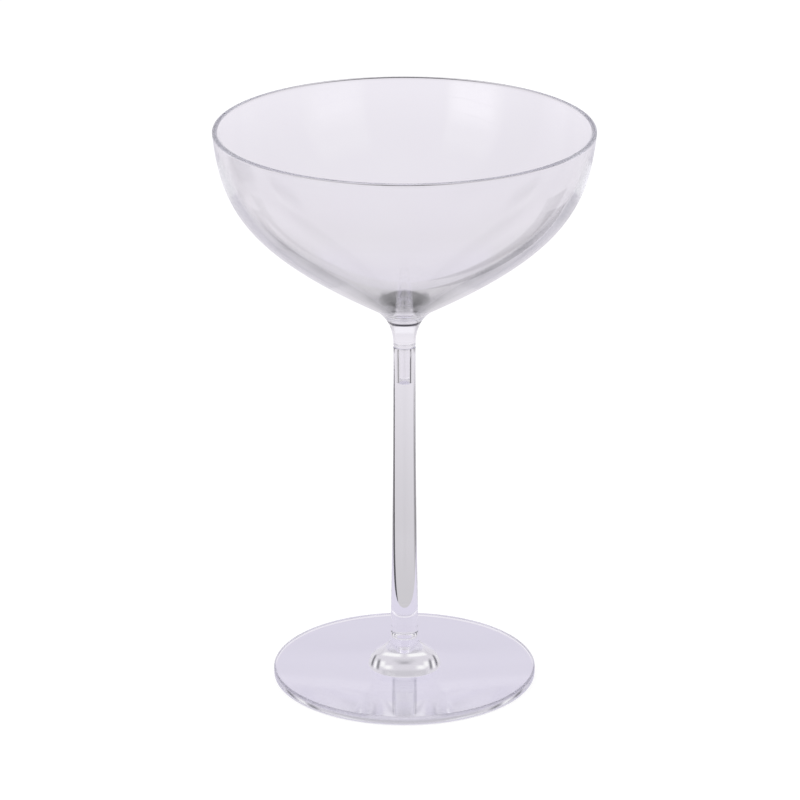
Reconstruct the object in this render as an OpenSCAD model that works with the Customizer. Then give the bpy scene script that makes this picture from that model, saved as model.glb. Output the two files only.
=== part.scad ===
// Stemmed coupe moulded in clear plastic, in three pieces: a wide bowl with a
// trumpet neck, a tapered rod for a stem, and a flat foot with a bell-shaped boss.
// Each joint is a peg in a blind socket, cemented, with the shoulders butted.
// +Z is up, and the origin is the centre of the foot's underside.

/* [Bowl] */
// Outside diameter at the rim
rim_d = 110; // [90:1:130]
// Height of the bowl piece, from the neck's shoulder to the rim
bowl_h = 66; // [55:0.5:80]
// Thickness of the wall at the rounded lip
lip_t = 1.5; // [1:0.1:2.4]
// Lean of the wall at the rim, in degrees outward from upright
rim_lean = 6; // [0:0.5:10]
// Slope of the underside above the neck, in degrees above level
cone_slope = 30; // [24:1:36]
// Height of the trumpet neck, from its shoulder to the straight underside
neck_h = 12.2; // [9:0.1:14]
// Diameter of the underside where the neck's flare starts
flare_d = 19.2; // [15:0.2:26]
// Thickness of the wall where it meets the neck
cone_t = 2.8; // [2:0.1:6]
// Radius of the dished floor inside the bowl
dish_r = 12; // [9:0.5:16]

/* [Stem] */
// Length of the stem between its two shoulders
stem_l = 91.6; // [60:0.1:120]
// Diameter of the stem under the bowl
stem_top_d = 6.5; // [6:0.1:8]
// Diameter of the stem above the foot
stem_foot_d = 8.1; // [7:0.1:10]
// Rounding of the edges that meet at each seam
seam_round = 0.4; // [0.2:0.05:0.6]

/* [Foot] */
// Diameter of the foot
foot_d = 78; // [66:1:95]
// Thickness of the foot's disc
foot_t = 2.8; // [2:0.1:4]
// Height of the boss above the underside, up to the stem's shoulder
boss_h = 11.9; // [10:0.1:16]
// Diameter of the boss where it stands on the disc
boss_d = 21.7; // [18:0.1:30]
// Diameter at the turn of the boss's ogee, between its cove and its round shoulder
ogee_d = 14.8; // [12:0.1:17]
// Height of that turn above the underside
ogee_h = 7.4; // [6:0.1:8.5]
// Slope of the boss at the turn, in degrees below level
ogee_slope = 33; // [20:1:45]
// Lean of the boss's wall at the disc, in degrees from upright
boss_lean = 10; // [0:1:20]
// Rounding of the disc's two edges
foot_round = 0.6; // [0.3:0.05:0.9]

/* [Pegs and sockets] */
// Diameter of the bowl's peg, at its root
bowl_peg_d = 3.3; // [2.4:0.05:3.6]
// Length of the bowl's peg
bowl_peg_l = 10.2; // [6:0.1:14]
// Diameter of the stem's peg, at its root
stem_peg_d = 4; // [3:0.05:4.6]
// Length of the stem's peg
stem_peg_l = 5; // [3:0.1:6]
// Draft of pegs and sockets, in degrees per side
draft = 0.5; // [0.2:0.1:1]
// Gap for cement all round a peg
cement_gap = 0.05; // [0.03:0.01:0.1]
// Pocket left under the end of a peg
end_pocket = 1.1; // [0.5:0.1:1.6]

/* [Hidden] */

// Facets of a full turn, and steps along a profile's curve
$fn = 96;
wall_steps = 28;
flare_steps = 14;
round_steps = 6;

// Levels along the axis
foot_seam_z = boss_h;
bowl_seam_z = foot_seam_z + stem_l;
neck_top_z = bowl_seam_z + neck_h;
rim_z = bowl_seam_z + bowl_h;

// Centre of the dished floor, which touches the inside of the straight underside
dish_z = neck_top_z - flare_d / 2 * tan(cone_slope) + (cone_t + dish_r) / cos(cone_slope);

// Reach of each curve's handles, as a share of the height, width or chord that it spans
wall_top_share = 0.4;
wall_low_share = 0.96;
inner_top_share = 0.42;
inner_low_share = 0.88;
neck_top_share = 0.86;
neck_low_share = 0.4;
stem_top_share = 0.55;
stem_low_share = 0.15;
cove_top_share = 0.3;
cove_low_share = 0.35;
shoulder_top_share = 0.35;
shoulder_low_share = 0.45;

// Small round on a peg's tip, as a share of the peg's diameter
tip_share = 0.12;

// Overrun of a cut past the face that it opens
overrun = 1;

clear_plastic = [0.88, 0.87, 0.93, 0.45];

// Unit direction at an angle above the radius
function heading(angle) = [cos(angle), sin(angle)];

// Points of a cubic curve from a to d, drawn towards the handles b and c
function curve(a, b, c, d, steps) = [
    for (i = [0:steps])
        let (t = i / steps, s = 1 - t)
            s * s * s * a + 3 * s * s * t * b + 3 * s * t * t * c + t * t * t * d
];

// Points of an arc about a centre, from one angle to another
function arc(centre, radius, from, to, steps) = [
    for (i = [0:steps])
        centre + radius * heading(from + (to - from) * i / steps)
];

// Outside of the bowl, from the lip down to the neck's shoulder
function bowl_outside(lip) =
    let (
        start = lip + lip_t / 2 * heading(-rim_lean),
        flare = [flare_d / 2, neck_top_z],
        down = wall_top_share * (start.y - flare.y),
        out = wall_low_share * (start.x - flare.x),
        bend = [stem_top_d / 2, bowl_seam_z + seam_round],
        drop = neck_top_share * (flare.x - bend.x),
        rise = neck_low_share * (flare.y - bend.y)
    )
    concat(
        curve(start, start - down * heading(90 - rim_lean),
            flare + out * heading(cone_slope), flare, wall_steps),
        curve(flare, flare - drop * heading(cone_slope),
            bend + [0, rise], bend, flare_steps),
        arc([bend.x - seam_round, bend.y], seam_round, 0, -90, round_steps)
    );

// Inside of the bowl, from the lowest point up to the lip
function bowl_inside(lip) =
    let (
        centre = [0, dish_z],
        edge = centre + dish_r * heading(cone_slope - 90),
        finish = lip - lip_t / 2 * heading(-rim_lean),
        up = inner_top_share * (finish.y - edge.y),
        out = inner_low_share * (finish.x - edge.x)
    )
    concat(
        arc(centre, dish_r, -90, cone_slope - 90, round_steps),
        curve(edge, edge + out * heading(cone_slope),
            finish - up * heading(90 - rim_lean), finish, wall_steps)
    );

// Drafted peg that hangs from a shoulder, with a rounded tip
module peg(root_d, length) {
    tip_r = root_d / 2 - length * tan(draft);
    round_r = tip_share * root_d;
    rotate_extrude()
        polygon(concat(
            [[0, overrun], [root_d / 2, overrun], [root_d / 2, 0]],
            arc([tip_r - round_r, round_r - length], round_r, 0, -90, round_steps),
            [[0, -length]]
        ));
}

// Blind hole that takes a peg, cut down from a shoulder
module socket(root_d, length) {
    mouth_r = root_d / 2 + cement_gap;
    depth = length + end_pocket;
    rotate_extrude()
        polygon([
            [0, overrun],
            [mouth_r, overrun],
            [mouth_r, 0],
            [mouth_r - depth * tan(draft), -depth],
            [0, -depth]
        ]);
}

// Bowl with its trumpet neck, and the peg under it
module bowl() {
    lip = [rim_d / 2 - lip_t / 2, rim_z - lip_t / 2];
    color(clear_plastic) {
        rotate_extrude()
            polygon(concat(
                bowl_outside(lip),
                [[0, bowl_seam_z]],
                bowl_inside(lip),
                arc(lip, lip_t / 2, 180 - rim_lean, -rim_lean, 2 * round_steps)
            ));
        translate([0, 0, bowl_seam_z])
            peg(bowl_peg_d, bowl_peg_l);
    }
}

// Tapered rod with a socket on top and a peg below
module stem() {
    top_r = stem_top_d / 2;
    foot_r = stem_foot_d / 2;
    low = [foot_r, foot_seam_z + seam_round];
    high = [top_r, bowl_seam_z - seam_round];
    run = high.y - low.y;
    color(clear_plastic) {
        difference() {
            rotate_extrude()
                polygon(concat(
                    [[0, foot_seam_z]],
                    arc([foot_r - seam_round, low.y], seam_round, -90, 0, round_steps),
                    curve(low, low + [0, stem_low_share * run],
                        high - [0, stem_top_share * run], high, flare_steps),
                    arc([top_r - seam_round, high.y], seam_round, 0, 90, round_steps),
                    [[0, bowl_seam_z]]
                ));
            translate([0, 0, bowl_seam_z])
                socket(bowl_peg_d, bowl_peg_l);
        }
        translate([0, 0, foot_seam_z])
            peg(stem_peg_d, stem_peg_l);
    }
}

// Ogee of the boss, from the disc up to the stem's shoulder
function boss_outside(bend) =
    let (
        turn = [ogee_d / 2, ogee_h],
        base = [boss_d / 2, foot_t],
        cove_run = norm(turn - bend),
        shoulder_run = norm(base - turn),
        fall = heading(-ogee_slope),
        wall = heading(90 + boss_lean)
    )
    concat(
        curve(base, base + shoulder_low_share * shoulder_run * wall,
            turn + shoulder_top_share * shoulder_run * fall, turn, flare_steps),
        curve(turn, turn - cove_low_share * cove_run * fall,
            bend - [0, cove_top_share * cove_run], bend, flare_steps)
    );

// Flat disc with a bell-shaped boss, and the stem's socket in it
module foot() {
    disc_r = foot_d / 2;
    top_r = stem_foot_d / 2;
    bend = [top_r, boss_h - seam_round];
    color(clear_plastic)
        difference() {
            rotate_extrude()
                polygon(concat(
                    [[0, 0]],
                    arc([disc_r - foot_round, foot_round], foot_round, -90, 0, round_steps),
                    arc([disc_r - foot_round, foot_t - foot_round], foot_round, 0, 90, round_steps),
                    boss_outside(bend),
                    arc([top_r - seam_round, bend.y], seam_round, 0, 90, round_steps),
                    [[0, boss_h]]
                ));
            translate([0, 0, foot_seam_z])
                socket(stem_peg_d, stem_peg_l);
        }
}

bowl();
stem();
foot();
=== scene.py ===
"""Coupe glass of clear moulded plastic, on a small pale table in a soft studio.

The bowl, the stem and the foot are turned from half sections in millimetres, cemented with
pegs in blind sockets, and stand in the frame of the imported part.
"""

import logging
import math
from dataclasses import dataclass, field
from enum import Enum
from typing import Any, ClassVar

import bmesh
import bpy
from mathutils import Euler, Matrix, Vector


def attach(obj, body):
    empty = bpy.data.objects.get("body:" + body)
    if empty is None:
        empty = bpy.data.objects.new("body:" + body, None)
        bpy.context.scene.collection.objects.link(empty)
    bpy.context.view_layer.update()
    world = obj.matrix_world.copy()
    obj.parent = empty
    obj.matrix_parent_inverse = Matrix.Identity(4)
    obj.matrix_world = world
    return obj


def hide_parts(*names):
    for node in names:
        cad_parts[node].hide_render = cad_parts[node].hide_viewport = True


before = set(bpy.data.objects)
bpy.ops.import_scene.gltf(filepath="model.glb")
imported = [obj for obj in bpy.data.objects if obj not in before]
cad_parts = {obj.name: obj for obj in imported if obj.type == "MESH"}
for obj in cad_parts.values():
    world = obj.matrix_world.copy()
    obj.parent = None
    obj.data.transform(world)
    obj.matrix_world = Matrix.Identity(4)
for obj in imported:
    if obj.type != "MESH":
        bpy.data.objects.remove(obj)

LOG = logging.getLogger("coupe")
MM = 0.001
ON_AXIS = 0.0
QUARTER_TURN = 90.0
HALF_TURN = 180.0

# Directions in a half section, in degrees above the radius
DOWN = -QUARTER_TURN
OUT = 0.0
UP = QUARTER_TURN

# Constants of the sRGB curve
SRGB_TOP = 255
SRGB_KNEE = 0.04045
SRGB_SLOPE = 12.92
SRGB_OFFSET = 0.055
SRGB_POWER = 2.4

# Nodes that are used in many places
MATH = "ShaderNodeMath"
MIX = "ShaderNodeMix"
NOISE = "ShaderNodeTexNoise"
SPLIT = "ShaderNodeSeparateXYZ"
VECTOR = "ShaderNodeVectorMath"


class Piece(Enum):
    """Separate pieces of the glass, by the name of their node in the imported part."""

    BOWL = "bowl"
    STEM = "stem"
    FOOT = "foot"


class Slot(Enum):
    """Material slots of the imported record."""

    BOWL = "clear_bowl"
    STEM = "clear_stem"
    FOOT = "clear_foot"


def straighten(share: float) -> float:
    """Turns one sRGB channel into a linear one.

    Args:
        share: Value from 0 to 1.

    Returns:
        The linear value, from 0 to 1.
    """
    if share <= SRGB_KNEE:
        return share / SRGB_SLOPE
    return ((share + SRGB_OFFSET) / (1 + SRGB_OFFSET)) ** SRGB_POWER


def linear(code: str, gain: float = 1.0) -> tuple[float, float, float, float]:
    """Turns an sRGB hex value into a linear colour.

    Args:
        code: Six hex digits after a hash.
        gain: Brightness, as a multiple of the colour.

    Returns:
        Red, green, blue and a full alpha.
    """
    red, green, blue = (straighten(int(code[i : i + 2], 16) / SRGB_TOP) for i in (1, 3, 5))
    return (gain * red, gain * green, gain * blue, 1.0)


def add_node(
    tree: bpy.types.NodeTree, kind: str, links: dict[Any, Any], out: Any = 0, **settings: Any
) -> Any:
    """Adds one node, sets its properties and fills its sockets.

    Args:
        tree: Tree that takes the node.
        kind: Node type.
        links: Socket name or index to a value, or to the output socket that feeds it.
        out: Name or index of the output that is wanted, or None for the node itself.
        settings: Properties of the node, set before its sockets.

    Returns:
        The wanted output socket, or the node.
    """
    node = tree.nodes.new(kind)
    for name, value in settings.items():
        setattr(node, name, value)
    for socket, value in links.items():
        if isinstance(value, bpy.types.NodeSocket):
            tree.links.new(value, node.inputs[socket])
        else:
            node.inputs[socket].default_value = value
    return node if out is None else node.outputs[out]


def window(tree: bpy.types.NodeTree, value: Any, middle: Any, half: Any, fade: float) -> Any:
    """Share that is 1 near a middle value and fades softly to 0 past a half width.

    Args:
        tree: Node tree.
        value: Socket of the value.
        middle: Middle of the window.
        half: Half width at which the fade starts.
        fade: Width of the fade.

    Returns:
        The socket of the share.
    """
    aside = add_node(tree, MATH, {0: value, 1: middle}, operation="SUBTRACT")
    apart = add_node(tree, MATH, {0: aside}, operation="ABSOLUTE")
    past = add_node(tree, MATH, {0: apart, 1: half}, operation="SUBTRACT")
    links = {"Value": past, "From Min": 0.0, "From Max": fade, "To Min": 1.0, "To Max": 0.0}
    return add_node(tree, "ShaderNodeMapRange", links, interpolation_type="SMOOTHSTEP")


def heading(angle: float) -> Vector:
    """Unit direction at an angle in degrees above the radius."""
    return Vector((math.cos(math.radians(angle)), math.sin(math.radians(angle))))


@dataclass
class Section:
    """Half section of a turned piece, in millimetres.

    Attributes:
        points: Radius and height of each point, in order along the outline.
        least_step: Points closer than this to the last one are left out.
    """

    points: list[Vector] = field(default_factory=list)
    least_step: float = 0.004

    def add(self, points: list[Vector]) -> "Section":
        """Adds points to the outline.

        Args:
            points: Radius and height of each point.

        Returns:
            The section itself, so that calls can be chained.
        """
        for point in points:
            if not self.points or (point - self.points[-1]).length > self.least_step:
                self.points.append(point)
        return self

    def mesh(self, name: str) -> bpy.types.Mesh:
        """Draws the outline as a chain of edges, radius along X and height along Z.

        Args:
            name: Name of the mesh.

        Returns:
            The new mesh.
        """
        places = [(p.x, ON_AXIS, p.y) for p in self.points]
        chain = [(i, i + 1) for i in range(len(places) - 1)]
        made = bpy.data.meshes.new(name)
        made.from_pydata(places, chain, [])
        return made


def curve(start: Vector, first: Vector, second: Vector, end: Vector, steps: int) -> list[Vector]:
    """Points of a cubic curve.

    Args:
        start: First end.
        first: Handle of the first end.
        second: Handle of the last end.
        end: Last end.
        steps: Number of stretches.

    Returns:
        The points, both ends among them.
    """
    points = []
    for i in range(steps + 1):
        t = i / steps
        s = 1 - t
        near = s * s * s * start + 3 * s * s * t * first
        points.append(near + 3 * s * t * t * second + t * t * t * end)
    return points


def arc(centre: Vector, radius: float, start: float, end: float, steps: int) -> list[Vector]:
    """Points of an arc.

    Args:
        centre: Centre of the arc.
        radius: Radius.
        start: Angle of the first point, in degrees.
        end: Angle of the last point, in degrees.
        steps: Number of stretches.

    Returns:
        The points, both ends among them.
    """
    turn = (end - start) / steps
    return [centre + radius * heading(start + turn * i) for i in range(steps + 1)]


@dataclass(frozen=True)
class Lathe:
    """Geometry Nodes tree that turns a half section about the upright axis.

    Attributes:
        turn_steps: Facets of a full turn.
        weld: Points closer than this become one, in millimetres.
        crease: Edges sharper than this stay sharp, in degrees.
    """

    turn_steps: int = 240
    weld: float = 0.001
    crease: float = 38.0

    def tree(self) -> bpy.types.NodeTree:
        """Builds the tree, with inputs for the steps, the unit, the weld and the material.

        Returns:
            The finished node tree.
        """
        tree = bpy.data.node_groups.new("turned_piece", "GeometryNodeTree")
        for name, way, kind in (
            ("Section", "INPUT", "NodeSocketGeometry"),
            ("Turn Steps", "INPUT", "NodeSocketInt"),
            ("Millimetre", "INPUT", "NodeSocketFloat"),
            ("Weld Distance", "INPUT", "NodeSocketFloat"),
            ("Material", "INPUT", "NodeSocketMaterial"),
            ("Piece", "OUTPUT", "NodeSocketGeometry"),
        ):
            tree.interface.new_socket(name=name, in_out=way, socket_type=kind)
        given = add_node(tree, "NodeGroupInput", {}, None).outputs
        section = given["Section"]
        steps = given["Turn Steps"]

        links = {"Geometry": section}
        count = add_node(tree, "GeometryNodeAttributeDomainSize", links, component="MESH")
        columns = add_node(tree, MATH, {0: steps, 1: 1.0}, operation="ADD")
        links = {"Vertices X": columns, "Vertices Y": count}
        grid = add_node(tree, "GeometryNodeMeshGrid", links)

        index = add_node(tree, "GeometryNodeInputIndex", {})
        stretch = add_node(tree, MATH, {0: index, 1: count}, operation="DIVIDE")
        column = add_node(tree, MATH, {0: stretch}, operation="FLOOR")
        before = add_node(tree, MATH, {0: column, 1: count}, operation="MULTIPLY")
        row = add_node(tree, MATH, {0: index, 1: before}, operation="SUBTRACT")
        place = add_node(tree, "GeometryNodeInputPosition", {})
        links = {"Geometry": section, "Value": place, "Index": row}
        kinds = {"data_type": "FLOAT_VECTOR", "domain": "POINT"}
        point = add_node(tree, "GeometryNodeSampleIndex", links, **kinds)
        apart = add_node(tree, SPLIT, {"Vector": point}, None).outputs

        share = add_node(tree, MATH, {0: column, 1: steps}, operation="DIVIDE")
        angle = add_node(tree, MATH, {0: share, 1: math.tau}, operation="MULTIPLY")
        cosine = add_node(tree, MATH, {0: angle}, operation="COSINE")
        sine = add_node(tree, MATH, {0: angle}, operation="SINE")
        across = add_node(tree, MATH, {0: apart["X"], 1: cosine}, operation="MULTIPLY")
        along = add_node(tree, MATH, {0: apart["X"], 1: sine}, operation="MULTIPLY")
        links = {"X": across, "Y": along, "Z": apart["Z"]}
        turned = add_node(tree, "ShaderNodeCombineXYZ", links)
        links = {"Vector": turned, "Scale": given["Millimetre"]}
        scaled = add_node(tree, VECTOR, links, operation="SCALE")

        links = {"Geometry": grid, "Position": scaled}
        skin = add_node(tree, "GeometryNodeSetPosition", links)
        links = {"Geometry": skin, "Distance": given["Weld Distance"]}
        welded = add_node(tree, "GeometryNodeMergeByDistance", links)
        smooth = add_node(tree, "GeometryNodeSetShadeSmooth", {"Geometry": welded})
        real = add_node(tree, "GeometryNodeRealizeInstances", {"Geometry": smooth})
        links = {"Geometry": real, "Material": given["Material"]}
        dressed = add_node(tree, "GeometryNodeSetMaterial", links)
        add_node(tree, "NodeGroupOutput", {"Piece": dressed}, None)
        return tree

    def turn(self, name: str, section: Section, finish: bpy.types.Material) -> bpy.types.Object:
        """Turns a half section into a closed mesh with its finish.

        Args:
            name: Name of the piece.
            section: Outline of the piece, from the axis to the axis.
            finish: Material of the piece.

        Returns:
            The finished object, at the origin.
        """
        outline = bpy.data.objects.new(name + "_section", section.mesh(name + "_section"))
        bpy.context.scene.collection.objects.link(outline)
        tree = self.tree()
        values = {
            "Turn Steps": self.turn_steps,
            "Millimetre": MM,
            "Weld Distance": self.weld * MM,
            "Material": finish,
        }
        modifier = outline.modifiers.new("turning", "NODES")
        modifier.node_group = tree
        for item in tree.interface.items_tree:
            if item.in_out == "INPUT" and item.name in values:
                modifier[item.identifier] = values[item.name]

        graph = bpy.context.evaluated_depsgraph_get()
        mesh = bpy.data.meshes.new_from_object(outline.evaluated_get(graph), depsgraph=graph)
        outline.modifiers.remove(modifier)
        bpy.data.objects.remove(outline)
        self.close(mesh)
        mesh.name = name
        made = bpy.data.objects.new(name, mesh)
        bpy.context.scene.collection.objects.link(made)
        return made

    def close(self, mesh: bpy.types.Mesh) -> None:
        """Turns the faces outwards and keeps only the real edges sharp.

        Args:
            mesh: Mesh of a turned piece, with its seam and poles welded.
        """
        work = bmesh.new()
        work.from_mesh(mesh)
        bmesh.ops.recalc_face_normals(work, faces=work.faces)
        work.to_mesh(mesh)
        work.free()
        mesh.set_sharp_from_angle(angle=math.radians(self.crease))


@dataclass(frozen=True)
class ClearPlastic:
    """Clear acrylic, injection moulded in a polished tool, with a trace of violet toner.

    The toner gives the thick places a cool lavender cast. The slow flow of the melt leaves a
    faint ripple and streaks of slightly deeper tone, and handling leaves a dull haze on the
    edges that touch other things.

    Attributes:
        name: Name of the material.
        clear: Tone of the clear melt.
        streak: Tone of the deeper streaks.
        toner: Colour that the toner lets through.
        toner_density: Strength of the toner, per metre.
        painted_neck_shade: Tone of the painted shade, a dark ring round the neck, which stands
            for the dark band that the light bent through the neck leaves there.
        painted_neck_shade_level: Height of that ring, in millimetres.
        painted_neck_shade_half: Half of its width, in millimetres.
        painted_neck_shade_fade: Width of its soft edges, in millimetres.
        painted_edge_shade: Tone of the painted shade along the foot's upper edge, which gives
            the disc a darker outline.
        painted_edge_shade_reach: Distance of that edge from the origin, its half width and
            its fade.
        painted_edge_shade_level: Height of that edge, its half width and its fade, in millimetres.
        ior: Refractive index.
        streak_size: Width of a streak, in millimetres.
        streak_detail: Octaves of the streaks.
        ripple_size: Width of a ripple, in millimetres.
        ripple_height: Height of a ripple, in millimetres.
        ripple_detail: Octaves of the ripple.
        scuff_size: Length of a scuff, in millimetres. Real ones are finer and wouldn't show.
        scuff_detail: Octaves of the scuffs.
        scuff_haze: Roughness of a scuff.
        haze_low: Level under which the surface is scuffed, in millimetres.
        haze_high: Level over which the surface is scuffed, in millimetres.
    """

    name: str
    clear: str = "#FFFFFF"
    streak: str = "#FDFCFE"
    toner: str = "#C7C7D2"
    toner_density: float = 4.2
    painted_neck_shade: str = "#3C3A40"
    painted_neck_shade_level: float = 111.5
    painted_neck_shade_half: float = 0.36
    painted_neck_shade_fade: float = 0.12
    painted_edge_shade: str = "#DEDCE2"
    painted_edge_shade_reach: tuple[float, float, float] = (39.0, 0.42, 0.14)
    painted_edge_shade_level: tuple[float, float, float] = (2.6, 0.35, 0.15)
    ior: float = 1.5
    streak_size: float = 16.0
    streak_detail: float = 3.0
    ripple_size: float = 9.0
    ripple_height: float = 0.0008
    ripple_detail: float = 1.0
    scuff_size: float = 0.7
    scuff_detail: float = 4.0
    scuff_haze: float = 0.06
    haze_low: float = 0.4
    haze_high: float = 169.2

    def material(self) -> bpy.types.Material:
        """Builds the material.

        Returns:
            The finished material.
        """
        made = bpy.data.materials.new(self.name)
        made.use_nodes = True
        tree = made.node_tree
        tree.nodes.clear()
        place = add_node(tree, "ShaderNodeTexCoord", {}, "Object")
        links = {"Color": linear(self.toner), "Density": self.toner_density}
        volume = add_node(tree, "ShaderNodeVolumeAbsorption", links)
        links = {
            "Base Color": self.tone(tree, place),
            "Roughness": self.haze(tree, place),
            "Normal": self.ripple(tree, place),
            "IOR": self.ior,
            "Transmission Weight": 1.0,
        }
        surface = add_node(tree, "ShaderNodeBsdfPrincipled", links)
        links = {"Surface": surface, "Volume": volume}
        add_node(tree, "ShaderNodeOutputMaterial", links, None)
        return made

    def tone(self, tree: bpy.types.NodeTree, place: Any) -> Any:
        """Streaks from the flow of the melt, and painted shade on the neck and the foot's edge.

        Args:
            tree: Node tree of the material.
            place: Object coordinates, in metres.

        Returns:
            The colour socket.
        """
        scale = 1 / (self.streak_size * MM)
        links = {"Vector": place, "Scale": scale, "Detail": self.streak_detail}
        flow = add_node(tree, NOISE, links)
        links = {"Factor": flow, "A": linear(self.clear), "B": linear(self.streak)}
        plain = add_node(tree, MIX, links, "Result", data_type="RGBA")
        links = {"Vector": place, "Scale": 1 / MM}
        scaled = add_node(tree, VECTOR, links, operation="SCALE")
        level = add_node(tree, SPLIT, {"Vector": scaled}, "Z")
        # Painted shade: a dark ring round the neck, for the dark band of the bent light
        line = window(tree, level, self.painted_neck_shade_level, self.painted_neck_shade_half, self.painted_neck_shade_fade)
        links = {"Factor": line, "A": plain, "B": linear(self.painted_neck_shade)}
        lined = add_node(tree, MIX, links, "Result", data_type="RGBA")
        # Painted shade along the foot's upper edge, which darkens the disc's outline
        reach = add_node(tree, VECTOR, {"Vector": scaled}, "Value", operation="LENGTH")
        out = window(tree, reach, *self.painted_edge_shade_reach)
        up = window(tree, level, *self.painted_edge_shade_level)
        edge = add_node(tree, MATH, {0: out, 1: up}, operation="MULTIPLY")
        links = {"Factor": edge, "A": lined, "B": linear(self.painted_edge_shade)}
        return add_node(tree, MIX, links, "Result", data_type="RGBA")

    def haze(self, tree: bpy.types.NodeTree, place: Any) -> Any:
        """Fine scuffs on the lip and on the edge that stands on the table.

        Args:
            tree: Node tree of the material.
            place: Object coordinates, in metres.

        Returns:
            The roughness socket.
        """
        scale = 1 / (self.scuff_size * MM)
        links = {"Vector": place, "Scale": scale, "Detail": self.scuff_detail}
        scuff = add_node(tree, NOISE, links)
        height = add_node(tree, SPLIT, {"Vector": place}, "Z")
        low = add_node(tree, MATH, {0: height, 1: self.haze_low * MM}, operation="LESS_THAN")
        high = add_node(tree, MATH, {0: height, 1: self.haze_high * MM}, operation="GREATER_THAN")
        handled = add_node(tree, MATH, {0: low, 1: high}, operation="MAXIMUM")
        amount = add_node(tree, MATH, {0: scuff, 1: self.scuff_haze}, operation="MULTIPLY")
        return add_node(tree, MATH, {0: amount, 1: handled}, operation="MULTIPLY")

    def ripple(self, tree: bpy.types.NodeTree, place: Any) -> Any:
        """Faint ripple of the polished tool.

        Args:
            tree: Node tree of the material.
            place: Object coordinates, in metres.

        Returns:
            The normal socket.
        """
        scale = 1 / (self.ripple_size * MM)
        links = {"Vector": place, "Scale": scale, "Detail": self.ripple_detail}
        wave = add_node(tree, NOISE, links)
        links = {"Height": wave, "Distance": self.ripple_height * MM, "Strength": 1.0}
        return add_node(tree, "ShaderNodeBump", links)


@dataclass(frozen=True)
class Joint:
    """Peg in a blind socket, cemented, with the shoulders butted.

    Attributes:
        level: Height of the seam above the table.
        collar: Radius of both shoulders at the seam.
        root: Radius of the peg at its root.
        length: Length of the peg.
        draft: Draft of peg and socket, in degrees per side.
        cement: Gap all round the peg.
        pocket: Gap under the end of the peg.
        seam: Width of the seam between the shoulders.
        edge: Rounding of the shoulders' edges.
        tip: Rounding of the peg's tip and of the socket's bottom.
        steps: Facets of a small round.
    """

    level: float
    collar: float
    root: float
    length: float
    draft: float = 0.5
    cement: float = 0.05
    pocket: float = 1.1
    seam: float = 0.02
    edge: float = 0.4
    tip: float = 0.4
    steps: int = 8

    @property
    def upper(self) -> float:
        """Level of the upper shoulder."""
        return self.level + self.seam / 2

    @property
    def lower(self) -> float:
        """Level of the lower shoulder."""
        return self.level - self.seam / 2

    def peg(self) -> list[Vector]:
        """Peg that hangs from the upper shoulder.

        Returns:
            Its points, from the axis outwards.
        """
        foot = self.upper - self.length
        small = self.root - self.length * math.tan(math.radians(self.draft))
        corner = arc(Vector((small - self.tip, foot + self.tip)), self.tip, DOWN, OUT, self.steps)
        return [Vector((ON_AXIS, foot)), *corner, Vector((self.root, self.upper))]

    def socket(self) -> list[Vector]:
        """Socket that is sunk from the lower shoulder.

        Returns:
            Its points, from the shoulder to the axis.
        """
        depth = self.length + self.pocket
        floor = self.lower - depth
        mouth = self.root + self.cement
        small = mouth - depth * math.tan(math.radians(self.draft))
        corner = arc(Vector((small - self.tip, floor + self.tip)), self.tip, OUT, DOWN, self.steps)
        return [Vector((mouth, self.lower)), *corner, Vector((ON_AXIS, floor))]

    def collar_above(self) -> list[Vector]:
        """Rounded edge of the upper shoulder, outwards and up."""
        centre = Vector((self.collar - self.edge, self.upper + self.edge))
        return arc(centre, self.edge, DOWN, OUT, self.steps)

    def collar_below(self) -> list[Vector]:
        """Rounded edge of the lower shoulder, up and inwards."""
        centre = Vector((self.collar - self.edge, self.lower - self.edge))
        return arc(centre, self.edge, OUT, UP, self.steps)


@dataclass(kw_only=True)
class TurnedPiece:
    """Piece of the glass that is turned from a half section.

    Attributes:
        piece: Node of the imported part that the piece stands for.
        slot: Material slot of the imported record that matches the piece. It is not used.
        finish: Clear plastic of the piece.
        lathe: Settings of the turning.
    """

    piece: ClassVar[Piece]
    slot: ClassVar[Slot]
    finish: ClearPlastic
    lathe: Lathe = field(default_factory=Lathe)

    def section(self) -> Section:
        """Outline of the piece, which starts and ends on the axis."""
        raise NotImplementedError

    def build(self) -> bpy.types.Object:
        """Turns the piece, puts it in the place of its node and lets it ride on the body.

        Returns:
            The finished object.
        """
        made = self.lathe.turn("clear_" + self.piece.value, self.section(), self.finish.material())
        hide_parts(self.piece.value)
        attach(made, "root")
        return made


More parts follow.
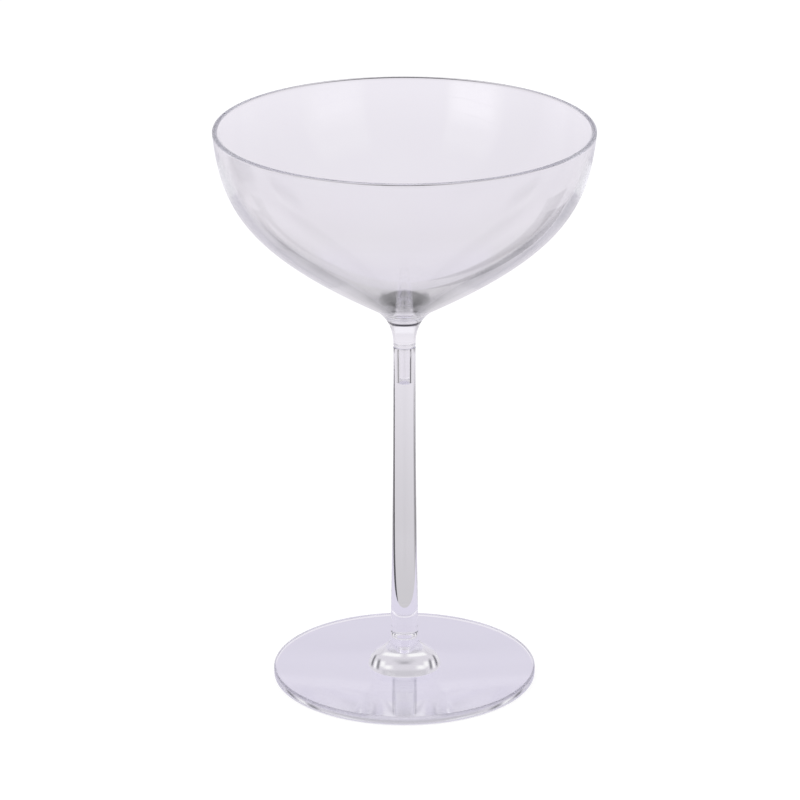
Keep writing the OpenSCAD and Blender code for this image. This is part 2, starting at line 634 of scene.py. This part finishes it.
@dataclass(kw_only=True)
class Bowl(TurnedPiece):
    """Wide bowl with a straight-sided underside, a trumpet neck and a peg.

    Attributes:
        joint: Joint with the stem.
        rim_r: Outside radius at the rim.
        height: Height from the seam to the rim.
        lip: Thickness of the wall at the lip.
        lean: Lean of the wall at the rim, in degrees.
        slope: Slope of the underside, in degrees.
        neck_h: Height of the neck.
        flare_r: Radius at which the neck's flare starts.
        wall: Thickness of the wall above the neck.
        dish_r: Radius of the dished floor.
        outer_shares: Reach of the outer curve's handles.
        inner_shares: Reach of the inner curve's handles.
        neck_shares: Reach of the neck's handles.
        wall_steps: Facets of a wall.
        neck_steps: Facets of the neck and of the dish.
        lip_steps: Facets of the lip's half round.
    """

    piece: ClassVar[Piece] = Piece.BOWL
    slot: ClassVar[Slot] = Slot.BOWL
    joint: Joint
    rim_r: float = 55.0
    height: float = 66.0
    lip: float = 1.5
    lean: float = 6.0
    slope: float = 30.0
    neck_h: float = 12.2
    flare_r: float = 9.6
    wall: float = 2.8
    dish_r: float = 12.0
    outer_shares: tuple[float, float] = (0.4, 0.96)
    inner_shares: tuple[float, float] = (0.42, 0.88)
    neck_shares: tuple[float, float] = (0.86, 0.4)
    wall_steps: int = 110
    neck_steps: int = 44
    lip_steps: int = 24

    def section(self) -> Section:
        """Draws the bowl.

        Returns:
            Outline from the peg's tip, up the outside, over the lip and down to the dish.
        """
        rim = self.joint.level + self.height
        centre = Vector((self.rim_r - self.lip / 2, rim - self.lip / 2))
        lip = arc(centre, self.lip / 2, -self.lean, HALF_TURN - self.lean, self.lip_steps)
        made = Section()
        made.add(self.joint.peg()).add(self.joint.collar_above())
        made.add(self.outside(lip[0])).add(lip).add(self.inside(lip[-1]))
        return made

    @property
    def flare(self) -> Vector:
        """Point at which the neck's flare meets the straight underside."""
        return Vector((self.flare_r, self.joint.level + self.neck_h))

    def outside(self, start: Vector) -> list[Vector]:
        """Outer wall and neck, from the seam up to the lip.

        Args:
            start: Point at which the wall leaves the lip.

        Returns:
            The points, upwards.
        """
        flare = self.flare
        bend = Vector((self.joint.collar, self.joint.upper + self.joint.edge))
        top, low = self.outer_shares
        down = top * (start.y - flare.y) * heading(UP - self.lean)
        out = low * (start.x - flare.x) * heading(self.slope)
        wall = curve(flare, flare + out, start - down, start, self.wall_steps)
        top, low = self.neck_shares
        drop = top * (flare.x - bend.x) * heading(self.slope)
        rise = Vector((0.0, low * (flare.y - bend.y)))
        neck = curve(bend, bend + rise, flare - drop, flare, self.neck_steps)
        return neck + wall

    def inside(self, start: Vector) -> list[Vector]:
        """Inner wall and dished floor, from the lip down to the axis.

        Args:
            start: Point at which the wall leaves the lip.

        Returns:
            The points, downwards.
        """
        slope = math.radians(self.slope)
        flare = self.flare
        rise = (self.wall + self.dish_r) / math.cos(slope) - flare.x * math.tan(slope)
        centre = Vector((ON_AXIS, flare.y + rise))
        edge = centre + self.dish_r * heading(self.slope + DOWN)
        top, low = self.inner_shares
        down = top * (start.y - edge.y) * heading(UP - self.lean)
        out = low * (start.x - edge.x) * heading(self.slope)
        wall = curve(start, start - down, edge + out, edge, self.wall_steps)
        return wall + arc(centre, self.dish_r, self.slope + DOWN, DOWN, self.neck_steps)


@dataclass(kw_only=True)
class Stem(TurnedPiece):
    """Slim rod that thickens towards the foot, with a socket above and a peg below.

    Attributes:
        above: Joint with the bowl.
        below: Joint with the foot.
        shares: Reach of the side's handles, at the top and at the bottom.
        side_steps: Facets of the side.
    """

    piece: ClassVar[Piece] = Piece.STEM
    slot: ClassVar[Slot] = Slot.STEM
    above: Joint
    below: Joint
    shares: tuple[float, float] = (0.55, 0.15)
    side_steps: int = 90

    def section(self) -> Section:
        """Draws the stem.

        Returns:
            Outline from the peg's tip, up the side and down into the socket.
        """
        low = Vector((self.below.collar, self.below.upper + self.below.edge))
        high = Vector((self.above.collar, self.above.lower - self.above.edge))
        run = Vector((0.0, high.y - low.y))
        top, bottom = self.shares
        side = curve(low, low + bottom * run, high - top * run, high, self.side_steps)
        made = Section()
        made.add(self.below.peg()).add(self.below.collar_above()).add(side)
        return made.add(self.above.collar_below()).add(self.above.socket())


@dataclass(kw_only=True)
class Foot(TurnedPiece):
    """Flat disc with a bell-shaped boss, and the stem's socket in it.

    Attributes:
        joint: Joint with the stem.
        disc_r: Radius of the disc.
        underside: Level of the underside, which is the part's lowest.
        thick: Thickness of the disc.
        edge: Rounding of the disc's edges.
        boss_r: Radius of the boss on the disc.
        lean: Lean of the boss's wall at the disc, in degrees from upright.
        turn: Radius and height of the turn between cove and shoulder.
        fall: Slope of the boss at the turn, in degrees below level.
        cove_shares: Reach of the cove's handles, at the stem and at the turn.
        shoulder_shares: Reach of the shoulder's handles, at the turn and at the disc.
        boss_steps: Facets of cove and shoulder.
    """

    piece: ClassVar[Piece] = Piece.FOOT
    slot: ClassVar[Slot] = Slot.FOOT
    joint: Joint
    disc_r: float = 39.0
    underside: float = 0.0
    thick: float = 2.8
    edge: float = 0.6
    boss_r: float = 10.85
    lean: float = 10.0
    turn: tuple[float, float] = (7.4, 7.4)
    fall: float = 33.0
    cove_shares: tuple[float, float] = (0.3, 0.35)
    shoulder_shares: tuple[float, float] = (0.35, 0.45)
    boss_steps: int = 40

    def section(self) -> Section:
        """Draws the foot.

        Returns:
            Outline from the underside, round the disc and up the boss into the socket.
        """
        low = Vector((self.disc_r - self.edge, self.edge))
        high = Vector((self.disc_r - self.edge, self.thick - self.edge))
        steps = self.joint.steps
        made = Section()
        made.add([Vector((ON_AXIS, self.underside))])
        made.add(arc(low, self.edge, DOWN, OUT, steps))
        made.add(arc(high, self.edge, OUT, UP, steps))
        made.add(self.boss()).add(self.joint.collar_below())
        return made.add(self.joint.socket())

    def boss(self) -> list[Vector]:
        """Ogee of the boss, a round shoulder below a hollow cove.

        Returns:
            Its points, from the disc up to the collar.
        """
        base = Vector((self.boss_r, self.thick))
        turn = Vector(self.turn)
        bend = Vector((self.joint.collar, self.joint.lower - self.joint.edge))
        fall = heading(-self.fall)
        top, low = self.shoulder_shares
        run = (base - turn).length
        wall = low * run * heading(UP + self.lean)
        shoulder = curve(base, base + wall, turn + top * run * fall, turn, self.boss_steps)
        top, low = self.cove_shares
        run = (turn - bend).length
        rise = Vector((0.0, top * run))
        cove = curve(turn, turn - low * run * fall, bend - rise, bend, self.boss_steps)
        return shoulder + cove


@dataclass(frozen=True)
class Patch:
    """Soft-edged patch of the room, as the glass sees it.

    Attributes:
        bearing: Bearing of its middle, in degrees clockwise from the back.
        height: Height of its middle above the horizon, in degrees.
        half_width: Half of its width, in degrees.
        half_height: Half of its height, in degrees.
        side_fade: Width of the soft edge at its sides, in degrees.
        end_fade: Width of the soft edge at its top and bottom, in degrees.
        tone: Its colour.
        gain: Its brightness, as a multiple of that colour.
    """

    bearing: float
    height: float
    half_width: float
    half_height: float
    side_fade: float
    end_fade: float
    tone: str
    gain: float = 1.0


def both_sides(bearing: float, *rest: Any) -> tuple[Patch, Patch]:
    """Two equal patches, one to either side of the back.

    Args:
        bearing: Bearing of their middles, in degrees to either side.
        rest: The other values of a patch, in order.

    Returns:
        The left patch and the right one.
    """
    return Patch(-bearing, *rest), Patch(bearing, *rest)


@dataclass(frozen=True)
class Strip:
    """Soft strip of shade that the clear stem lays on the paper in front of the foot.

    Attributes:
        aside: Distance of its middle from the centre line, to either side, in millimetres.
        half: Half of its width, in millimetres.
        fade: Width of its soft sides, in millimetres.
        tone: Its colour.
    """

    aside: float
    half: float
    fade: float
    tone: str


@dataclass(frozen=True)
class Gap:
    """Painted shade of a dark gap behind the table's rear edge, which opens sideways like a wedge.

    Attributes:
        side: 1 to the right of the glass, -1 to its left.
        start: Distance from the middle at which it opens, in millimetres.
        reach: Distance from the middle at which it ends, in millimetres.
        slant: How far the table's edge falls back for each millimetre sideways.
        spread: How far the gap's own rear edge falls back for each millimetre sideways.
        tone: Its colour.
    """

    side: float
    start: float
    reach: float
    slant: float
    spread: float
    tone: str


@dataclass(frozen=True)
class SoftBox:
    """Soft lamp that lights the floor in front of the glass.

    Attributes:
        name: Name of the lamp.
        bearing: Bearing in degrees clockwise from the back.
        height: Height above the horizon, in degrees.
        distance: Distance from the bowl, in metres.
        width: Width in metres.
        tall: Height in metres.
        radiance: Brightness of its face, where 1 is white.
    """

    name: str
    bearing: float
    height: float
    distance: float
    width: float
    tall: float
    radiance: float

    def build(self, aim: Vector) -> bpy.types.Object:
        """Places the lamp so that its face looks at a point.

        The glass sees the painted boxes of the room in its place, which have soft edges.

        Args:
            aim: Point that the lamp looks at.

        Returns:
            The lamp object.
        """
        bearing = math.radians(self.bearing)
        height = math.radians(self.height)
        level = math.cos(height)
        out = Vector((math.sin(bearing) * level, math.cos(bearing) * level, math.sin(height)))
        lamp = bpy.data.lights.new(self.name, "AREA")
        lamp.shape = "RECTANGLE"
        lamp.size = self.width
        lamp.size_y = self.tall
        lamp.energy = self.radiance * math.pi * self.width * self.tall
        made = bpy.data.objects.new(self.name, lamp)
        made.location = aim + out * self.distance
        made.rotation_euler = out.to_track_quat("Z", "Y").to_euler()
        made.visible_camera = False
        made.visible_glossy = False
        made.visible_transmission = False
        bpy.context.scene.collection.objects.link(made)
        return made


@dataclass
class Studio:
    """Plain soft studio: a small pale table in a pale room, and two soft lamps.

    Straight from the camera the table and the room are white, as on a cut-out. In the gloss of
    the glass and through it they show with the tones of a real room.

    Attributes:
        floor_half: Half of the floor's width, in metres.
        floor_drop: Gap between the foot and the floor, in metres.
        horizon: Place of the horizon on the ramp from straight down to straight up.
        heights: Height in degrees and tone of the room, from straight down to straight up.
        patches: Darker and lighter patches of the room.
        paper: Tone of the lilac paper on the table.
        front_paper: Tone of that paper in front of the glass, where it is shaded.
        paper_turn: Level along Y at which the shaded part starts, and its fade, in millimetres.
        strips: The stem's shade on the paper, pale inside and deeper along its sides.
        strip_run: Middle, half length and fade of that shade along Y, in millimetres.
        table_edge: Level along Y of the table's straight rear edge, in millimetres.
        table_r: Reach of the table, and the width of its fade, in millimetres.
        edge_glow: Tone of the bright line that the foot's edge throws on the paper.
        edge_glow_r: Radius of that line, its half width and its fade, in millimetres.
        veil: Tone of the shade round the table, through which the room still shows.
        veil_r: Reach of that shade, and the width of its fade, in millimetres.
        veil_share: Share of the room that the shade covers.
        grey: Tone of the ground just behind the table.
        grey_r: Reach of that ground, and the width of its fade, in millimetres.
        gaps: Painted shade of the dark gaps behind the table's edge.
        gap_fade: Width of a gap's soft edges, in millimetres.
        lamps: Soft lamps.
        bowl_middle: Point that the lamps look at.
        glow: Brightness of the floor for the camera before any light falls on it.
        catch: Tone of the part of the floor that takes light and shadow.
    """

    floor_half: float = 3.0
    floor_drop: float = 0.0001
    horizon: float = 0.5
    heights: tuple[tuple[float, str], ...] = (
        (-90, "#E8E5EA"),
        (-54, "#E8E5EA"),
        (-45, "#EDEAEF"),
        (-36, "#E8E5EA"),
        (-31, "#E2DFE5"),
        (-27, "#E2DFE5"),
        (-23, "#E6E3E9"),
        (-18.6, "#EAE7EE"),
        (-16, "#F0EDF4"),
        (-4, "#EBE8EF"),
        (6, "#E6E3EA"),
        (22, "#DEDBE2"),
        (45, "#DEDBE2"),
        (60, "#E4E1E8"),
        (90, "#DAD7DE"),
    )
    patches: tuple[Patch, ...] = (
        # Ground behind the table, and darker places to its left and in front
        Patch(-6, -27, 26, 3, 10, 3, "#E8E5EB"),
        Patch(-58, -25, 9, 3, 9, 3, "#9C9A9E"),
        Patch(178, -24, 9, 3, 12, 3, "#818085"),
        # Shade that the solid cone above the neck gathers into its dark lens
        Patch(0, -44, 24, 5, 14, 5, "#C8C6CC"),
        Patch(0, -43, 3, 8, 3, 3, "#404043"),
        # Wall to the left, and the two soft boxes with their bright lower halves
        Patch(-98, 20, 8, 40, 12, 14, "#CECCD2"),
        Patch(-134, 14, 17, 18, 3, 8, "#FFFFFF", 1.03),
        Patch(-136, 3, 8, 5, 12, 9, "#FFFFFF", 1.9),
        Patch(134, 16, 19, 18, 4, 10, "#FFFFFF", 0.98),
        Patch(136, 4, 8, 4, 14, 9, "#FFFFFF", 1.45),
        # Rear wall and ceiling, which draw the lights and darks of the boss
        Patch(0, 7, 25, 6, 20, 6, "#F8F6FC"),
        Patch(0, 20, 24, 1.5, 8, 3.5, "#CDCBD1"),
        Patch(0, 34, 8, 1, 10, 3, "#D0CED4"),
        *both_sides(46, 27, 1, 2, 4, 5, "#FFFFFF"),
        *both_sides(58, 30, 1, 4, 7, 7, "#5A5A5E"),
        *both_sides(38, 28, 0.5, 3, 5, 5, "#88888C"),
        *both_sides(29, 29, 1, 1, 6, 4, "#FFFFFF"),
        *both_sides(22, 45, 12, 1.5, 10, 4, "#FFFFFF"),
        Patch(0, 31, 0.5, 0.5, 12, 3, "#B4B2B8"),
        *both_sides(20, 26, 1, 0.5, 9, 2.5, "#FFFFFF"),
    )
    paper: str = "#DEDAEA"
    front_paper: str = "#DCD9E7"
    paper_turn: tuple[float, float] = (-20.0, 30.0)
    strips: tuple[Strip, ...] = (
        Strip(0.0, 3.1, 0.5, "#D3D0DF"),
        Strip(3.2, 0.15, 0.4, "#B9B6C6"),
    )
    strip_run: tuple[float, float, float] = (-24.0, 13.0, 4.0)
    table_edge: float = 50.0
    table_r: tuple[float, float] = (80.0, 24.0)
    edge_glow: str = "#F2EFF8"
    edge_glow_r: tuple[float, float, float] = (38.8, 0.3, 0.4)
    veil: str = "#959595"
    veil_r: tuple[float, float] = (80.0, 220.0)
    veil_share: float = 0.3
    grey: str = "#CCCACD"
    grey_r: tuple[float, float] = (55.0, 50.0)
    gaps: tuple[Gap, ...] = (
        Gap(1, 20, 230, 0.06, 0.55, "#1E1E20"),
        Gap(-1, 52, 230, 0.06, 0.35, "#898889"),
    )
    gap_fade: float = 3.0
    lamps: tuple[SoftBox, ...] = (
        SoftBox("soft_box_left", -130, 30, 1.5, 0.85, 0.95, 2.2),
        SoftBox("soft_box_right", 130, 30, 1.5, 0.85, 0.85, 1.8),
    )
    bowl_middle: Vector = field(default_factory=lambda: Vector((0.0, 0.0, 0.15)))
    glow: float = 0.78
    catch: str = "#8C8C8C"

    def build(self) -> bpy.types.Object:
        """Builds the room, the floor and the lamps.

        Returns:
            The floor object.
        """
        self.room()
        for lamp in self.lamps:
            lamp.build(self.bowl_middle)
        return self.floor()

    @staticmethod
    def through_glass(tree: bpy.types.NodeTree) -> Any:
        """Share that is 1 for what is seen in the gloss of the glass or through it.

        Args:
            tree: Node tree.

        Returns:
            The socket of the share.
        """
        paths = add_node(tree, "ShaderNodeLightPath", {}, None).outputs
        links = {0: paths["Is Glossy Ray"], 1: paths["Is Transmission Ray"]}
        glass = add_node(tree, MATH, links, operation="MAXIMUM")
        links = {0: glass, 1: paths["Is Camera Ray"]}
        return add_node(tree, MATH, links, operation="SUBTRACT", use_clamp=True)

    def room(self) -> None:
        """Paints the room by bearing and height, white straight from the camera."""
        world = bpy.data.worlds.new("studio_room")
        world.use_nodes = True
        bpy.context.scene.world = world
        tree = world.node_tree
        tree.nodes.clear()
        way = add_node(tree, "ShaderNodeTexCoord", {}, "Generated")
        apart = add_node(tree, SPLIT, {"Vector": way}, None).outputs
        turn = add_node(tree, MATH, {0: apart["X"], 1: apart["Y"]}, operation="ARCTAN2")
        bearing = add_node(tree, MATH, {0: turn}, operation="DEGREES")
        rise = add_node(tree, MATH, {0: apart["Z"]}, operation="ARCSINE")
        height = add_node(tree, MATH, {0: rise}, operation="DEGREES")

        tone = self.heights_tone(tree, height)
        for patch in self.patches:
            aside = add_node(tree, MATH, {0: bearing, 1: patch.bearing}, operation="SUBTRACT")
            links = {0: aside, 1: HALF_TURN, 2: -HALF_TURN}
            aside = add_node(tree, MATH, links, operation="WRAP")
            wide = window(tree, aside, 0.0, patch.half_width, patch.side_fade)
            tall = window(tree, height, patch.height, patch.half_height, patch.end_fade)
            share = add_node(tree, MATH, {0: wide, 1: tall}, operation="MULTIPLY")
            links = {"Factor": share, "A": tone, "B": linear(patch.tone, patch.gain)}
            tone = add_node(tree, MIX, links, "Result", data_type="RGBA")
        links = {"Factor": self.through_glass(tree), "A": linear("#FFFFFF"), "B": tone}
        seen = add_node(tree, MIX, links, "Result", data_type="RGBA")
        sky = add_node(tree, "ShaderNodeBackground", {"Color": seen})
        add_node(tree, "ShaderNodeOutputWorld", {"Surface": sky}, None)

    def heights_tone(self, tree: bpy.types.NodeTree, height: Any) -> Any:
        """Tone of the room by height.

        Args:
            tree: Node tree of the room.
            height: Socket of the height above the horizon, in degrees.

        Returns:
            The colour socket.
        """
        links = {0: height, 1: 1 / HALF_TURN, 2: self.horizon}
        share = add_node(tree, MATH, links, operation="MULTIPLY_ADD")
        ramp = add_node(tree, "ShaderNodeValToRGB", {"Fac": share}, None)
        stops = ramp.color_ramp.elements
        while len(stops) < len(self.heights):
            stops.new(self.horizon)
        for stop, (level, tone) in zip(stops, self.heights):
            stop.position = level / HALF_TURN + self.horizon
            stop.color = linear(tone)
        return ramp.outputs["Color"]

    def floor(self) -> bpy.types.Object:
        """Builds the plain floor, which carries the table for the glass.

        Returns:
            The floor object.
        """
        half = self.floor_half
        square = [(-half, -half), (half, -half), (half, half), (-half, half)]
        mesh = bpy.data.meshes.new("floor")
        mesh.from_pydata([(x, y, -self.floor_drop) for x, y in square], [], [(0, 1, 2, 3)])
        mesh.materials.append(self.floor_finish())
        made = bpy.data.objects.new("floor", mesh)
        bpy.context.scene.collection.objects.link(made)
        return made

    def floor_finish(self) -> bpy.types.Material:
        """White to the camera with the glass's shadow, and the small table for the glass.

        Returns:
            The finished material.
        """
        made = bpy.data.materials.new("pale_floor")
        made.use_nodes = True
        tree = made.node_tree
        tree.nodes.clear()
        glow = add_node(tree, "ShaderNodeEmission", {"Strength": self.glow})
        matt = add_node(tree, "ShaderNodeBsdfDiffuse", {"Color": linear(self.catch)})
        white = add_node(tree, "ShaderNodeAddShader", {0: glow, 1: matt})
        links = {0: self.through_glass(tree), 1: white, 2: self.table(tree)}
        seen = add_node(tree, "ShaderNodeMixShader", links)
        add_node(tree, "ShaderNodeOutputMaterial", {"Surface": seen}, None)
        return made

    def table(self, tree: bpy.types.NodeTree) -> Any:
        """Small table with its paper, and the shade, the ground and the gaps round it.

        Args:
            tree: Node tree of the floor.

        Returns:
            The shader socket, clear where the room shows through.
        """
        place = add_node(tree, "ShaderNodeTexCoord", {}, "Object")
        links = {"Vector": place, "Scale": 1 / MM}
        place = add_node(tree, VECTOR, links, operation="SCALE")
        apart = add_node(tree, SPLIT, {"Vector": place}, None).outputs
        reach = add_node(tree, VECTOR, {"Vector": place}, "Value", operation="LENGTH")

        ground = add_node(tree, "ShaderNodeBsdfTransparent", {})
        near = window(tree, reach, 0.0, *self.veil_r)
        share = add_node(tree, MATH, {0: near, 1: self.veil_share}, operation="MULTIPLY")
        ground = self.over(tree, ground, share, linear(self.veil))
        share = window(tree, reach, 0.0, *self.grey_r)
        ground = self.over(tree, ground, share, linear(self.grey))
        # Painted shade of the dark gaps behind the table's rear edge
        for gap in self.gaps:
            share = self.gap_share(tree, gap, apart["X"], apart["Y"])
            ground = self.over(tree, ground, share, linear(gap.tone))
        near = window(tree, reach, 0.0, *self.table_r)
        links = {0: apart["Y"], 1: self.table_edge}
        front = add_node(tree, MATH, links, operation="LESS_THAN")
        share = add_node(tree, MATH, {0: near, 1: front}, operation="MULTIPLY")
        paper = self.paper_tone(tree, apart["X"], apart["Y"])
        ground = self.over(tree, ground, share, paper)
        ring = window(tree, reach, *self.edge_glow_r)
        return self.over(tree, ground, ring, linear(self.edge_glow))

    @staticmethod
    def over(tree: bpy.types.NodeTree, below: Any, share: Any, tone: Any) -> Any:
        """Lays a plain tone over what is below it.

        Args:
            tree: Node tree of the floor.
            below: Socket of the shader below.
            share: Socket of the share that the tone covers.
            tone: The colour, or the socket that gives it.

        Returns:
            The socket of the new shader.
        """
        plain = add_node(tree, "ShaderNodeEmission", {"Color": tone})
        return add_node(tree, "ShaderNodeMixShader", {0: share, 1: below, 2: plain})

    def paper_tone(self, tree: bpy.types.NodeTree, across: Any, along: Any) -> Any:
        """Tone of the paper, which is shaded in front of the glass and by its stem.

        Args:
            tree: Node tree of the floor.
            across: Socket of the place along X, in millimetres.
            along: Socket of the place along Y, in millimetres.

        Returns:
            The colour socket.
        """
        start, fade = self.paper_turn
        links = {"Value": along, "From Min": start, "From Max": start - fade}
        shade = add_node(tree, "ShaderNodeMapRange", links, interpolation_type="SMOOTHSTEP")
        links = {"Factor": shade, "A": linear(self.paper), "B": linear(self.front_paper)}
        tone = add_node(tree, MIX, links, "Result", data_type="RGBA")
        aside = add_node(tree, MATH, {0: across}, operation="ABSOLUTE")
        run = window(tree, along, *self.strip_run)
        for strip in self.strips:
            wide = window(tree, aside, strip.aside, strip.half, strip.fade)
            share = add_node(tree, MATH, {0: wide, 1: run}, operation="MULTIPLY")
            links = {"Factor": share, "A": tone, "B": linear(strip.tone)}
            tone = add_node(tree, MIX, links, "Result", data_type="RGBA")
        return tone

    def gap_share(self, tree: bpy.types.NodeTree, gap: Gap, across: Any, along: Any) -> Any:
        """Share of the floor that a gap takes.

        Args:
            tree: Node tree of the floor.
            gap: The gap.
            across: Socket of the place along X, in millimetres.
            along: Socket of the place along Y, in millimetres.

        Returns:
            The socket of the share.
        """
        out = add_node(tree, MATH, {0: across, 1: gap.side}, operation="MULTIPLY")
        links = {0: out, 1: gap.slant, 2: self.table_edge}
        front = add_node(tree, MATH, links, operation="MULTIPLY_ADD")
        links = {0: out, 1: gap.spread, 2: self.table_edge - gap.spread * gap.start}
        back = add_node(tree, MATH, links, operation="MULTIPLY_ADD")
        both = add_node(tree, MATH, {0: front, 1: back}, operation="ADD")
        middle = add_node(tree, MATH, {0: both, 1: 0.5}, operation="MULTIPLY")
        depth = add_node(tree, MATH, {0: back, 1: front}, operation="SUBTRACT")
        half = add_node(tree, MATH, {0: depth, 1: 0.5}, operation="MULTIPLY")
        deep = window(tree, along, middle, half, self.gap_fade)
        centre = (gap.start + gap.reach) / 2
        wide = window(tree, out, centre, gap.reach - centre, self.gap_fade)
        return add_node(tree, MATH, {0: deep, 1: wide}, operation="MULTIPLY")


@dataclass(frozen=True)
class StudioCamera:
    """Camera at the photograph's angle, for a square picture.

    Attributes:
        place: Place of the lens, in metres.
        down: Angle below the horizon, in degrees.
        sensor: Width of the sensor, in millimetres.
        focal_share: Focal length as a share of the sensor's width.
        shift: Sideways shift, as a share of the picture's width.
    """

    place: tuple[float, float, float] = (0.0, -1.1330, 0.5013)
    down: float = 20.1
    sensor: float = 36.0
    focal_share: float = 5.155
    shift: float = -0.0056

    def build(self) -> bpy.types.Object:
        """Places the camera and makes it the scene's own.

        Returns:
            The camera object.
        """
        data = bpy.data.cameras.new("studio_camera")
        data.sensor_width = self.sensor
        data.lens = self.sensor * self.focal_share
        data.shift_x = self.shift
        data.dof.use_dof = False
        made = bpy.data.objects.new("studio_camera", data)
        made.location = Vector(self.place)
        made.rotation_euler = Euler((math.radians(QUARTER_TURN - self.down), 0.0, 0.0))
        bpy.context.scene.collection.objects.link(made)
        bpy.context.scene.camera = made
        return made


@dataclass(frozen=True)
class LightPaths:
    """Bounces that light needs to find its way out of the clear walls.

    Attributes:
        bounces: Bounces in all, and through clear plastic.
        gloss: Mirror bounces.
    """

    bounces: int = 128
    gloss: int = 128

    def apply(self) -> None:
        """Sets the bounces and the plain view of the scene."""
        cycles = bpy.context.scene.cycles
        cycles.max_bounces = self.bounces
        cycles.transmission_bounces = self.bounces
        cycles.transparent_max_bounces = self.bounces
        cycles.glossy_bounces = self.gloss
        cycles.caustics_reflective = True
        cycles.caustics_refractive = True
        bpy.context.scene.view_settings.view_transform = "Standard"


def main() -> None:
    """Builds the studio and the three pieces of the glass, in order."""
    logging.basicConfig(level=logging.INFO, format="%(name)s: %(message)s")
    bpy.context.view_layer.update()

    upper = Joint(level=103.5, collar=3.25, root=1.65, length=10.2)
    lower = Joint(level=11.9, collar=4.05, root=2.0, length=5.0)
    pieces = (
        Bowl(finish=ClearPlastic("clear_acrylic_bowl"), joint=upper),
        Stem(finish=ClearPlastic("clear_acrylic_stem"), above=upper, below=lower),
        Foot(finish=ClearPlastic("clear_acrylic_foot"), joint=lower),
    )
    for piece in pieces:
        made = piece.build()
        LOG.info("%s has %d faces", made.name, len(made.data.polygons))

    Studio().build()
    StudioCamera().build()
    LightPaths().apply()


if __name__ == "__main__":
    main()
